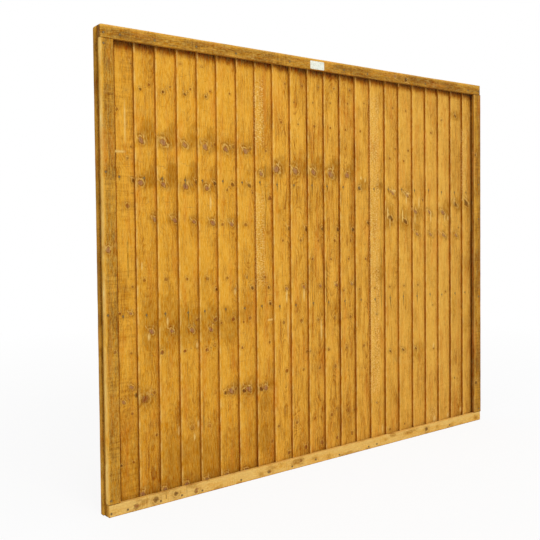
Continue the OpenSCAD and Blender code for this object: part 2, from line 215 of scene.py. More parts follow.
# Knots of the frame pieces: place along (share), place across (share), radius (mm), kind.
FRAME_KNOTS = {
    "front_left_stile": (
        (0.815, 0.10, 3.6, DARK), (0.885, 0.30, 3.4, PALE), (0.550, 0.40, 7.5, RINGED),
        (0.330, 0.75, 4.0, DARK),
    ),
    "front_right_stile": (
        (0.812, 0.20, 5.0, BLACK), (0.095, 0.28, 7.0, BLACK), (0.395, 0.60, 5.0, DARK),
    ),
    "front_top_rail": (
        (0.735, 0.60, 7.0, BLACK), (0.700, 0.45, 5.0, RINGED), (0.310, 0.70, 5.0, PALE),
    ),
    "front_bottom_rail": (
        (0.052, 0.60, 9.0, RED), (0.090, 0.45, 8.0, BLACK), (0.130, 0.40, 7.0, BLACK),
        (0.172, 0.60, 7.0, RED), (0.340, 0.60, 7.0, DARK), (0.420, 0.35, 6.0, RED),
        (0.800, 0.45, 7.0, BLACK),
    ),
    "back_upper_rail": ((0.300, 0.50, 8.0, RINGED), (0.720, 0.35, 6.0, DARK),),
    "back_lower_rail": ((0.180, 0.60, 7.0, DARK), (0.560, 0.40, 9.0, RINGED),),
    "back_top_rail": ((0.440, 0.50, 7.0, RED),),
    "back_bottom_rail": ((0.800, 0.50, 8.0, RINGED),),
    "back_left_stile": ((0.520, 0.50, 8.0, RINGED),),
    "back_right_stile": ((0.350, 0.50, 7.0, DARK),),
}

# Noises of the wood: stretch across, in depth and along, then scale, detail, roughness.
NOISES = {
    "fibre": ((1.0, 1.0, 0.03), 560, 4.0, 0.6),
    "streak": ((1.0, 1.0, 0.06), 170, 4.0, 0.6),
    "band": ((1.0, 1.0, 0.10), 62, 3.0, 0.5),
    "cloud": ((1.0, 1.0, 0.35), 26, 4.0, 0.6),
    "speck": ((1.0, 1.0, 0.45), 420, 3.0, 0.65),
    "grit": ((1.0, 1.0, 0.12), 180, 3.0, 0.6),
    "bend": ((1.0, 1.0, 0.12), 55, 3.0, 0.5),
    "tear": ((0.45, 1.0, 1.4), 210, 3.0, 0.6),
    "crisp": ((1.0, 1.0, 0.14), 330, 2.0, 0.7),
    "warm": ((1.0, 1.0, 0.16), 30, 3.0, 0.5),
    "cuts": ((0.10, 1.0, 1.0), 110, 4.0, 0.6),
    "blotch": ((1.0, 1.0, 0.5), 75, 4.0, 0.6),
    "wobble": ((1.0, 1.0, 0.8), 190, 3.0, 0.6),
}
# How far each unit of a piece's seed moves those noises across, in depth and along.
SEED_SHIFT = (3.7, 2.9, 1.3)
# Darkness through one year's growth: place in the ring, value.
YEAR = ((0.0, 0.0), (0.45, 0.12), (0.78, 0.75), (0.90, 1.0), (0.97, 0.35), (1.0, 0.0))

# Display colours of marks in the wood, then each knot kind's colour and strength.
REDDISH, OCHRE, TORN_PALE = (0.80, 0.47, 0.13), (0.80, 0.57, 0.15), (0.94, 0.78, 0.46)
ARC_DARK, RIM_DARK, CORE_DARK = (0.47, 0.28, 0.06), (0.43, 0.25, 0.06), (0.34, 0.19, 0.09)
KNOT_COLOURS = (
    (0.56, 0.34, 0.12), (0.64, 0.455, 0.32), (0.52, 0.27, 0.13), (0.34, 0.20, 0.09),
    (0.74, 0.52, 0.24),
)
KNOT_STRENGTHS = (0.45, 1.0, 0.6, 0.9, 0.5)
# How strongly the parts of a knot cover the wood: haze, dark arcs, pale arcs, rim.
HAZE, DARK_ARCS, PALE_ARCS, RIM = 0.78, 0.60, 0.55, 0.58
# Linear colour that the finest grain adds at its brightest, and the darkest wood.
GLINT, DARKEST = (0.52, 0.60, 0.20), (0.02, 0.01, 0.002)
ZINC_DIRT, ZINC_RUST, LABEL_MOTTLE = (0.42, 0.33, 0.16), (0.38, 0.26, 0.11), (0.72, 0.76, 0.66)

# Numbers of the Mix node's colour sockets.
MIX_FIRST, MIX_SECOND, MIX_RESULT = 6, 7, 2

# Lamps (metres): place and side.
KEY_LAMP = ((-1.0, -6.2, 5.4), 3.6)
TOP_LAMP = ((-0.3, -0.6, 4.2), 2.4)


def number(name, description, default, low, high, **kind):
    """A number property; kind is its unit or subtype."""
    return FloatProperty(
        name=name, description=description, default=default, min=low, max=high, **kind
    )


def length(name, description, default, low, high):
    """A length property in metres."""
    return number(name, description, default, low, high, unit="LENGTH")


def angle(name, description, degrees):
    """An angle property, given in degrees."""
    turn = math.radians(degrees)
    return FloatProperty(name=name, description=description, default=turn, subtype="ANGLE")


def tint(name, description, default):
    """A colour property in display values."""
    return FloatVectorProperty(
        name=name, description=description, default=default,
        min=0.0, max=1.0, size=3, subtype="COLOR_GAMMA",
    )


class FenceSizes(bpy.types.PropertyGroup):
    """Sizes of the worn and sawn surfaces."""

    row_step: length("Row step", "Distance between rows along a board", 0.0055, 0.003, 0.02)
    column_step: length(
        "Column step", "Distance between columns across a board", 0.0038, 0.002, 0.01)
    batten_step: length(
        "Batten step", "Distance between columns across a nailed batten", 0.0013, 0.001, 0.004)
    relief: length("Relief", "Depth of the hollows that the saw leaves", 0.00045, 0.0, 0.001)
    ragged_edge: length(
        "Ragged edge", "Depth of the nicks along a board's thick edge", 0.0016, 0.0, 0.003)
    arris: length("Arris", "Radius of a worn arris", 0.0009, 0.0002, 0.003)
    head_radius: length(
        "Nail hollow", "Radius of the hollow that a nail head leaves", 0.0036, 0.0033, 0.006)
    head_hollow: length(
        "Hollow depth", "Depth of the hollow that a nail head leaves", 0.0013, 0.0005, 0.002)
    ring_width: length("Ring width", "Width of one year's growth", 0.0042, 0.001, 0.01)


class FenceColours(bpy.types.PropertyGroup):
    """Colours of the dipped timber, the nails, the label and the floor."""

    board_light: tint("Board light", "Spring wood of the boards", (0.905, 0.665, 0.225))
    board_far: tint(
        "Far board light", "Spring wood of the boards at the right", (0.90, 0.685, 0.29))
    board_deep: tint("Board deep", "Summer wood of the boards", (0.62, 0.375, 0.055))
    frame_light: tint("Frame light", "Spring wood of the battens", (0.87, 0.640, 0.215))
    frame_deep: tint("Frame deep", "Summer wood of the battens", (0.53, 0.335, 0.05))
    # Also the colour of the painted highlights along the arrises.
    pale: tint("Torn grain", "Pale torn or chipped wood", (0.91, 0.75, 0.42))
    bare: tint("Bare wood", "Fresh slivers that the dip missed", (0.97, 0.94, 0.76))
    olive: tint("Olive patch", "Patches where the dip took more", (0.65, 0.43, 0.085))
    halo: tint("Halo", "Yellow ring round a knot", (0.96, 0.80, 0.46))
    # Also the colour of the painted shadow under the top rail.
    soaked_and_shaded: tint("Soaked edge", "Sawn ends, where the dip soaks in", (0.42, 0.235, 0.04))
    stain: tint("Nail stain", "Blue-black stain below a nail", (0.24, 0.19, 0.09))
    zinc: tint("Zinc", "Weathered zinc of the nails, under the dip", (0.58, 0.45, 0.22))
    label: tint("Label", "Blank paper label", (0.92, 0.925, 0.87))
    floor: tint("Floor", "Pale floor", (0.93, 0.93, 0.93))


class FenceStudio(bpy.types.PropertyGroup):
    """Camera and lamps."""

    eye: FloatVectorProperty(
        name="Eye", description="Place of the camera",
        default=(-1.8184, -2.1057, 0.9057), size=3, subtype="TRANSLATION",
    )
    yaw: angle("Yaw", "Turn of the view to the right", 36.485)
    pitch: angle("Pitch", "Tilt of the view upwards", -1.788)
    roll: angle("Roll", "Roll of the view about its own line", -0.564)
    lens: number("Lens", "Focal length in millimetres on a 36 mm frame", 48.31, 10.0, 200.0)
    rise: number("Shift", "Upward shift of the lens, as a share", -0.0434, -0.5, 0.5)
    key_power: number(
        "Key", "Power of the large soft lamp", 210.0, 0.0, 2000.0, subtype="POWER")
    fill_power: number(
        "Fill", "Power of the overhead lamp", 30.0, 0.0, 2000.0, subtype="POWER")
    sky: number("Sky", "Strength of the even light all round", 0.60, 0.0, 2.0)
    floor_half: length("Floor half size", "Half the floor's side", 12.0, 2.0, 50.0)


class BattenLook(NamedTuple):
    """How one batten's wood differs from the plain: each is 0 where it doesn't."""

    tone: float = 0.12  # darker
    patches: float = 0.8  # olive patches
    chips: float = 0.4  # pale streaks
    # Below 0 the paler near edge is a painted highlight along the near arris.
    edge: float = 0.0  # the near edge, darker above 0 and paler below
    pale: float = 0.0  # paleness all over
    slope: float = 0.0  # darker towards the far end
    # The bare wood on the near arris is partly a painted highlight there.
    worn: float = 0.0  # bare wood on the near arris
    torn: float = 0.10  # roughness of the sawn face
    under: float = 0.0  # dark line along the far edge
    rings: float = 0.35  # stain round each nail
    side: float = 0.10  # the near side, darker


# Nails and look of each piece of the front trim.
TRIM = {
    "front_top_rail": (
        "top_rail_nails", BattenLook(0.34, 0.6, 0.7, -0.45, 0.06, 0.3, 0.4, torn=0.2)),
    "front_bottom_rail": (
        "bottom_rail_nails",
        BattenLook(-1.35, 1.6, 0.8, -0.2, 0.12, 0.25, 0.3, 0.55, 1.9, 0.10)),
    "front_left_stile": (
        "left_stile_nails", BattenLook(0.22, 0.5, 0.4, -0.85, 0.06, 0.15, 1.1)),
    "front_right_stile": (
        "right_stile_nails", BattenLook(0.36, 0.8, 0.6, -0.30, 0.05, -0.1, 0.3, side=0.30)),
}
# Look of the back pieces that show at the left edge, under the worn top corner.
EDGE_LOOKS = {
    EDGE_STRIP: BattenLook(tone=0.70, patches=1.0, chips=0.0),
    "back_left_stile": BattenLook(tone=-0.06, patches=1.0, slope=0.3),
}


# Meshes


def node_points(node):
    """The points of a CAD node's mesh as an array, in millimetres."""
    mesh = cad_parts[node].data
    flat = np.empty(len(mesh.vertices) * 3, np.float32)
    mesh.vertices.foreach_get("co", flat)
    return flat.reshape(-1, 3).astype(float) / MM


def board_corners(node):
    """The four corners of a board's foot (mm), front left, front right, back right, back
    left: the points of its lowest plane, parted at the middle, and in each part the one
    with the smaller y is the front."""
    points = node_points(node)
    lowest = points[:, 2].min()
    foot = np.unique(points[points[:, 2] < lowest + 0.01].round(3), axis=0)
    middle = (foot[:, 0].min() + foot[:, 0].max()) / 2
    left, right = foot[foot[:, 0] < middle], foot[foot[:, 0] >= middle]
    left, right = left[np.argsort(left[:, 1])], right[np.argsort(right[:, 1])]
    return np.array([left[0], right[0], right[-1], left[-1]])


def box_corners(low, high, upright):
    """The four corners (mm) of a straight batten's first end, front near, front far, back
    far, back near. Across runs to the right on an upright piece and down on a rail."""
    if upright:
        plan = ((low[0], low[1]), (high[0], low[1]), (high[0], high[1]), (low[0], high[1]))
        return np.array([(x, y, low[2]) for x, y in plan])
    end = ((high[2], low[1]), (low[2], low[1]), (low[2], high[1]), (high[2], high[1]))
    return np.array([(low[0], y, z) for z, y in end])


def nail_heads(node, axis):
    """Middles (mm) of the nail heads of a node: its points are put in order along the
    axis, parted where the gap is wider than a head, and the middle of each part's
    foremost points is the head."""
    points = node_points(node)
    points = points[np.argsort(points[:, axis])]
    breaks = np.nonzero(np.diff(points[:, axis]) > NAIL_GAP)[0] + 1
    heads = []
    for nail in np.split(points, breaks):
        top = nail[nail[:, 1] < nail[:, 1].min() + HEAD_DEPTH]
        heads.append((top.min(axis=0) + top.max(axis=0)) / 2)
    return np.array(heads)


def unit(value):
    """The value, kept between 0 and 1."""
    return np.clip(value, 0, 1)


def fall(distance, reach):
    """1 at a distance of 0 and under, falling evenly to 0 at the reach."""
    return unit(1 - distance / reach)


def wander(t, seed, span, waves=6):
    """A smooth random curve over t between about -1 and 1: sines whose lengths fall from
    span by about half each time, with phases from the seed."""
    rng = np.random.default_rng(seed)
    total = np.zeros_like(np.asarray(t, float))
    for wave in range(waves):
        long = span * 0.55**wave * rng.uniform(0.8, 1.25)
        total += 0.62**wave * np.sin(t / long * math.tau + rng.uniform(0, math.tau))
    return total * 0.5


def ripple(across, along, seed, span_across, span_along, waves=9):
    """A smooth random surface between about -1 and 1: sines that run in directions
    scattered about both axes, with lengths from the two spans."""
    rng = np.random.default_rng(seed)
    total = np.zeros_like(across)
    for _ in range(waves):
        turn = rng.uniform(0, math.tau)
        shrink = rng.uniform(0.35, 1.0)
        phase = across / span_across * math.cos(turn) + along / span_along * math.sin(turn)
        total += np.sin(phase * math.tau / shrink + rng.uniform(0, math.tau)) * shrink
    return total / (0.7 * waves) * 1.6


def dents(across, along, seed, span_across, span_along):
    """A ripple brought between 0 and 1."""
    return 0.5 + 0.5 * np.clip(ripple(across, along, seed, span_across, span_along), -1, 1)


def section(rows, width, thick, radii, columns, side_steps):
    """A closed section at each row, in the order front, far side, back, near side. A face
    is a straight line between its corner curves, and a corner is a quarter ellipse. radii
    holds (across, depth) for the corners front near, front far, back far, back near; each
    may change from row to row. Returns across, depth and the outward normal."""
    spans = [tuple(np.broadcast_to(r, (rows, 1)) for r in pair) for pair in radii]
    (na, nd), (fa, fd), (ba, bd), (la, ld) = spans
    turns = np.linspace(0, math.pi / 2, 5)[1:-1][None, :]
    sine, cosine = np.sin(turns), np.cos(turns)
    share = columns[None, :]
    back = np.linspace(0, 1, side_steps[1])[None, :]
    side = np.linspace(0, 1, side_steps[0])[None, :]
    across = [
        na + (width - fa - na) * share,
        width - fa + fa * sine,
        width + 0 * side,
        width - ba + ba * cosine,
        width - ba - (width - ba - la) * back,
        la - la * sine,
        0 * side,
        na - na * cosine,
    ]
    depth = [
        0 * share,
        fd - fd * cosine,
        fd + (thick - fd - bd) * side,
        thick - bd + bd * sine,
        thick + 0 * back,
        thick - ld + ld * cosine,
        thick - ld - (thick - ld - nd) * side,
        nd - nd * sine,
    ]
    out_across = [0 * share, sine, 1 + 0 * side, cosine, 0 * back, -sine, -1 + 0 * side, -cosine]
    out_depth = [-1 + 0 * share, -cosine, 0 * side, sine, 1 + 0 * back, cosine, 0 * side, -sine]
    return tuple(
        np.concatenate([part + np.zeros((rows, 1)) for part in parts], axis=1)
        for parts in (across, depth, out_across, out_depth)
    )


def refined(start, stop, step, spots):
    """Places from start to stop about a step apart, with closer ones about each spot."""
    count = max(int(round((stop - start) / step)), 1)
    even = np.linspace(start, stop, count + 1)
    for spot in spots:
        even = even[
            (np.abs(even - spot) > NAIL_ROWS[-1]) | (even == start) | (even == stop)
        ]
    merged = np.unique(np.concatenate([even, *(spot + NAIL_ROWS for spot in spots)]))
    merged = merged[(merged >= start) & (merged <= stop)]
    keep = np.concatenate([[True], np.diff(merged) > ROW_GAP])
    keep[-1] = True
    return merged[keep]


def tube(name, rings, attributes):
    """A closed mesh through rows of one closed section: point j of row i is joined to its
    neighbours in four-sided faces, and a fan from the middle closes each end. rings is
    rows x columns x 3 in millimetres; attributes are named arrays rows x columns x 3."""
    rows, columns = rings.shape[:2]
    index = np.arange(rows * columns).reshape(rows, columns)
    after = np.roll(index, -1, axis=1)
    walls = np.stack([index[:-1], after[:-1], after[1:], index[1:]], axis=-1)
    first, last = rows * columns, rows * columns + 1
    foot = np.stack([after[0], index[0], np.full(columns, first)], axis=-1)
    head = np.stack([index[-1], after[-1], np.full(columns, last)], axis=-1)
    corners = np.concatenate([walls.ravel(), foot.ravel(), head.ravel()])
    quads, fans = walls.size // 4, 2 * columns
    starts = np.concatenate([np.arange(quads) * 4, quads * 4 + np.arange(fans) * 3])

    def with_ends(grid):
        ends = np.stack([grid[0].mean(axis=0), grid[-1].mean(axis=0)])
        return np.concatenate([grid.reshape(-1, 3), ends]).astype(np.float32)

    mesh = bpy.data.meshes.new(name)
    mesh.vertices.add(last + 1)
    mesh.vertices.foreach_set("co", (with_ends(rings) * MM).ravel())
    mesh.loops.add(len(corners))
    mesh.polygons.add(quads + fans)
    mesh.polygons.foreach_set("loop_start", starts.astype(np.int32))
    mesh.polygons.foreach_set("vertices", corners.astype(np.int32))
    mesh.update(calc_edges=True)
    mesh.validate()
    for key, grid in attributes.items():
        layer = mesh.attributes.new(key, "FLOAT_VECTOR", "POINT")
        layer.data.foreach_set("vector", with_ends(grid).ravel())
    mesh.polygons.foreach_set("use_smooth", np.ones(quads + fans, bool))
    mesh.set_sharp_from_angle(angle=SHARP_ANGLE)
    made = bpy.data.objects.new(name, mesh)
    bpy.context.scene.collection.objects.link(made)
    return made


def rings_of_growth(across, depth, along, seed, ring_width, flat=1.0):
    """The growth ring number of each point: its distance from the heart of the log over
    the ring width. The heart runs behind the face and wanders with the length."""
    rng = np.random.default_rng(seed)
    centre = 50 + rng.uniform(-26, 26) + 22 * wander(along, seed + 1, 1500, 5)
    behind = flat * rng.uniform(26, 70) + 15 * wander(along, seed + 2, 900, 5)
    radius = np.hypot(across - centre, np.maximum(behind, 5) + depth)
    return radius / ring_width + 0.25 * ripple(across, along, seed + 3, 60, 420)


def nearest_knot(across, along, growth, knots):
    """Offset from the nearest knot over its radius, with its kind, and the growth rings
    pushed outwards round each knot by a bell curve that is longer along the grain.
    Nearest is judged by the offset over the radius."""
    offset = np.full(across.shape + (3,), 40.0)
    offset[..., 2] = 0
    least = np.full(across.shape, 1e9)
    for place, height, radius, kind, slant in knots:
        dl = (along - height) / radius
        da = (across - place) / radius + slant * dl
        reach = np.hypot(da, dl)
        closer = reach < least
        least = np.where(closer, reach, least)
        for axis, value in enumerate((da, dl, kind)):
            offset[..., axis] = np.where(closer, value, offset[..., axis])
        bell = np.exp(-((da / 2.0) ** 2) - (dl / 4.2) ** 2)
        growth = growth + bell * min(radius / 2.6, 2.6)
    return offset, growth


def soft_spot(da, dl):
    """1 in the middle of an ellipse, falling to 0 at 1.3 of its half sizes."""
    return unit(1.9 - 1.5 * np.hypot(da, dl))


def between(value, low, high, soft):
    """1 between low and high, falling to 0 over soft beyond either."""
    return unit((value - low) / soft + 1) * unit((high - value) / soft + 1)


def hollows(across, along, spots, sizes):
    """Depth of the flat-bottomed hollow round each nail head."""
    total = np.zeros_like(across)
    edge, depth = sizes.head_radius / MM + HOLLOW_RIM, sizes.head_hollow / MM
    for place, height in spots:
        reach = np.hypot(across - place, along - height)
        total = np.maximum(total, depth * unit((edge - reach) / HOLLOW_RIM))
    return total


def nail_ring(across, along, spot, soft):
    """1 on a circle round a nail, falling to 0 over soft on either side."""
    reach = np.hypot(across - spot[0], along - spot[1])
    return fall(np.abs(reach - RING_RADIUS), soft)


def end_soak(along, length):
    """1 on the two end faces, falling to 0 within a few millimetres of them."""
    return fall(np.minimum(along, length - along), 3.0)


def place_section(corners, direction, across, depth, along, width, thick):
    """Points of the section set between four corners: across and depth as shares of the
    width and thickness run between the corner points, and along adds the direction."""
    s, t = (across / width)[..., None], (depth / thick)[..., None]
    front = (1 - s) * corners[0] + s * corners[1]
    back = (1 - s) * corners[3] + s * corners[2]
    return (1 - t) * front + t * back + along[..., None] * direction


def sawn_piece(node, points, offset, material, slot, **marks):
    """The tube of one piece, with each three grids or numbers of marks as an attribute,
    dressed and riding on the one body, to stand for its CAD node."""
    zero = np.zeros(points.shape[:2])
    attributes = {"knot": offset}
    for key, parts in marks.items():
        attributes[key] = np.stack([zero + part for part in parts], axis=-1)
    made = tube(f"sawn_{node}", points, attributes)
    made.data.materials.append(material)
    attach(made, BODY)
    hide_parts(node)


# Materials


def linear(colour):
    """Display colour to scene-linear RGBA, by the sRGB curve."""
    values = np.asarray(colour, float)
    low = values / 12.92
    high = ((values + 0.055) / 1.055) ** 2.4
    return (*np.where(values <= 0.04045, low, high), 1.0)


def grey(value):
    """A grey for a ramp that stands for a number."""
    return (value, value, value, 1.0)


class Nodes:
    """Adds nodes to a material or world and links them; a number goes on the socket."""

    def __init__(self, owner):
        owner.use_nodes = True
        self.owner, self.tree = owner, owner.node_tree
        self.shader = self.tree.nodes.get("Principled BSDF")

    def add(self, kind, inputs=(), **settings):
        node = self.tree.nodes.new(kind)
        for key, value in settings.items():
            setattr(node, key, value)
        for key, value in dict(inputs).items():
            self.join(value, node.inputs[key])
        return node

    def join(self, value, socket):
        if isinstance(value, bpy.types.NodeSocket):
            self.tree.links.new(value, socket)
        else:
            socket.default_value = value

    def maths(self, operation, *values, clamp=False):
        """One value or two; more are taken in one after the other, left to right."""
        total, *others = values
        for value in others or (0.0,):
            node = self.add("ShaderNodeMath", {0: total, 1: value}, operation=operation)
            total = node.outputs[0]
        node.use_clamp = clamp
        return total

    def times(self, *values, clamp=False):
        return self.maths("MULTIPLY", *values, clamp=clamp)

    def plus(self, *values, clamp=False):
        return self.maths("ADD", *values, clamp=clamp)

    def vector(self, operation, first, second):
        node = self.add("ShaderNodeVectorMath", {0: first, 1: second}, operation=operation)
        return node.outputs[0]

    def parts(self, vector):
        return self.add("ShaderNodeSeparateXYZ", {0: vector}).outputs

    def attribute(self, name):
        return self.add("ShaderNodeAttribute", attribute_name=name).outputs["Vector"]

    def place(self):
        return self.add("ShaderNodeTexCoord").outputs["Object"]

    def noise(self, vector, scale, detail=3.0, roughness=0.55):
        inputs = {"Vector": vector, "Scale": scale, "Detail": detail, "Roughness": roughness}
        return self.add("ShaderNodeTexNoise", inputs).outputs["Fac"]

    def span(self, value, low, high, start=0.0, end=1.0):
        inputs = dict(enumerate((value, low, high, start, end)))
        return self.add("ShaderNodeMapRange", inputs).outputs["Result"]

    def mix(self, factor, first, second):
        inputs = {0: factor, MIX_FIRST: first, MIX_SECOND: second}
        return self.add("ShaderNodeMix", inputs, data_type="RGBA").outputs[MIX_RESULT]

    def paint(self, under, *layers):
        """Display colours laid over another colour, each by its cover."""
        for cover, colour in layers:
            under = self.mix(cover, under, linear(colour))
        return under

    def ramp(self, value, stops, interpolation="LINEAR"):
        node = self.add("ShaderNodeValToRGB", {0: value})
        table = node.color_ramp
        table.interpolation = interpolation
        while len(table.elements) < len(stops):
            table.elements.new(1.0)
        for element, (place, colour) in zip(table.elements, stops):
            element.position = place
            element.color = colour
        return node.outputs["Color"]

    def pick(self, index, colours):
        """The colour at a whole-numbered index, by a ramp of equal steps."""
        count = len(colours)
        stops = [(i / count, colour) for i, colour in enumerate(colours)]
        return self.ramp(self.maths("DIVIDE", self.plus(index, 0.5), count), stops, "CONSTANT")

    def finish(self, colour, roughness, height, strength, distance):
        """Gives the shader its colour, roughness and bumps, and returns the material."""
        bump = {"Strength": strength, "Distance": distance, "Height": height}
        self.join(colour, self.shader.inputs["Base Color"])
        self.join(roughness, self.shader.inputs["Roughness"])
        self.join(self.add("ShaderNodeBump", bump).outputs[0], self.shader.inputs["Normal"])
        return self.owner


def wood_maps(n):
    """The mesh's attributes and the wood's noises, as named sockets. The noises lie on the
    piece's own across, depth and along, moved by its seed."""
    m = SimpleNamespace(knot=n.attribute("knot"))
    m.ring, m.seed, m.tone = n.parts(n.attribute("grain"))
    m.kind = n.parts(m.knot)[2]
    # The chip part also carries painted highlights along the arrises; the dip, the third part of
    # wear, carries painted shade and painted highlights as well.
    m.stain, m.chip, m.patch = n.parts(n.attribute("mark"))
    m.torn, m.saw, m.dip = n.parts(n.attribute("wear"))
    shift = n.add("ShaderNodeCombineXYZ", dict.fromkeys(range(3), m.seed)).outputs[0]
    m.here = n.vector("ADD", n.attribute("run"), n.vector("MULTIPLY", shift, SEED_SHIFT))
    for name, (stretch, *settings) in NOISES.items():
        setattr(m, name, n.noise(n.vector("MULTIPLY", m.here, stretch), *settings))
    return m


def dip_depth(n, m):
    """How deep the dip's colour is: the tone, the dark lines of the growth rings bent by
    noise, coarser on the middle boards, fibres and clouds, sawn lines and the dip itself,
    which carries painted shade and painted highlights as well.
    Adds it to the maps with the late wood and the sawn lines."""
    bent = n.maths("FRACT", n.plus(m.ring, n.times(m.bend, 1.3)))
    late = n.ramp(bent, [(place, grey(value)) for place, value in YEAR])
    m.late = n.times(late, n.span(m.cloud, 0.38, 0.62, 0.15, 0.85), clamp=True)
    m.sawn = n.times(m.saw, n.span(m.cuts, 0.42, 0.66, -0.25, 0.8))
    first, last = MIDDLE_BOARDS
    coarse = n.times(
        n.span(m.seed, first - 0.6, first - 0.4), n.span(m.seed, last + 0.6, last + 0.4))
    lines = n.plus(
        n.times(m.late, 0.40),
        n.span(m.streak, 0.28, 0.72, -0.19, 0.20),
        n.span(m.band, 0.3, 0.7, -0.15, 0.17),
    )
    m.deep = n.plus(
        m.tone,
        0.26,
        n.times(lines, n.span(coarse, 0.0, 1.0, 1.0, 1.7)),
        n.times(coarse, -0.06),
        n.span(m.fibre, 0.3, 0.7, -0.20, 0.22),
        n.span(m.cloud, 0.3, 0.7, -0.17, 0.21),
        n.span(m.grit, 0.3, 0.7, -0.22, 0.26),
        n.span(m.speck, 0.3, 0.7, -0.20, 0.24),
        n.times(m.sawn, 0.5),
        # The dip, with the painted shade and highlights it carries.
        m.dip,
    )


def paint_knots(n, m, colour, colours):
    """Knots over the wood, from the offset pushed about by noise: an olive haze, dark and
    pale arcs by the cosine of the reach, two pale wings above, a dark rim, and the body in
    its kind's colour. Adds the body's cover to the maps."""
    push = n.add("ShaderNodeTexNoise", {
        "Vector": n.vector("MULTIPLY", m.here, (1.0, 1.0, 0.8)), "Scale": 85.0, "Detail": 3.0,
    }).outputs["Color"]
    push = n.vector("MULTIPLY", n.vector("SUBTRACT", push, (0.5,) * 3), (1.8, 1.8, 0.0))
    side, height, _ = n.parts(n.vector("ADD", m.knot, push))
    square, lift = n.times(side, side), n.times(height, height)
    wobble = n.span(m.wobble, 0.3, 0.7, -0.25, 0.25)
    reach = n.plus(n.maths("SQRT", n.plus(square, lift)), wobble)
    strength = n.pick(m.kind, [grey(value) for value in KNOT_STRENGTHS])

    haze = n.span(n.plus(n.times(square, 0.55), lift), 13.0, 0.5)
    haze = n.times(haze, strength, n.span(m.blotch, 0.36, 0.60, 0.15, 0.95))
    wave = n.maths("COSINE", n.times(n.maths("SUBTRACT", reach, 1.55), 4.4))
    fades = n.times(
        n.span(reach, 3.4, 1.5),
        n.span(reach, 0.95, 1.15),
        n.span(m.blotch, 0.42, 0.56, 0.1, 1.0),
        n.span(n.plus(side, height), -2.2, 1.2, 0.3, 1.0),
    )
    darks = n.times(n.span(wave, -0.1, -1.0), n.times(fades, strength))
    flank = n.plus(n.times(height, 0.45), 0.85)
    wings = n.maths("ABSOLUTE", n.maths("SUBTRACT", n.maths("ABSOLUTE", side), flank))
    wings = n.span(n.plus(wings, n.times(wobble, 0.5)), 0.42, 0.05)
    wings = n.times(wings, n.times(n.span(height, -0.1, 0.5), n.span(height, 3.4, 1.8)))
    wings = n.times(wings, n.span(m.bend, 0.42, 0.55))
    arcs = n.maths("MAXIMUM", n.times(n.span(wave, 0.0, 0.9), fades), wings)
    rim = n.span(n.maths("ABSOLUTE", n.maths("SUBTRACT", reach, 1.08)), 0.34, 0.04)
    rim = n.times(rim, n.span(height, 0.9, -0.5, 0.3, 1.0), RIM)
    colour = n.paint(
        colour,
        (n.times(haze, HAZE), colours.olive),
        (n.times(darks, DARK_ARCS), ARC_DARK),
        (n.times(arcs, strength, PALE_ARCS), colours.halo),
        (rim, RIM_DARK),
    )
    body = n.pick(m.kind, [linear(value) for value in KNOT_COLOURS])
    body = n.paint(body, (n.span(reach, 0.42, 0.0, 0.0, 0.35), CORE_DARK))
    m.inside = n.times(
        n.span(reach, 1.10, 0.66),
        n.span(m.kind, 3.4, 3.6, 0.80, 0.5),
        n.span(m.speck, 0.25, 0.55, 0.6, 1.0),
    )
    return n.mix(m.inside, colour, body)


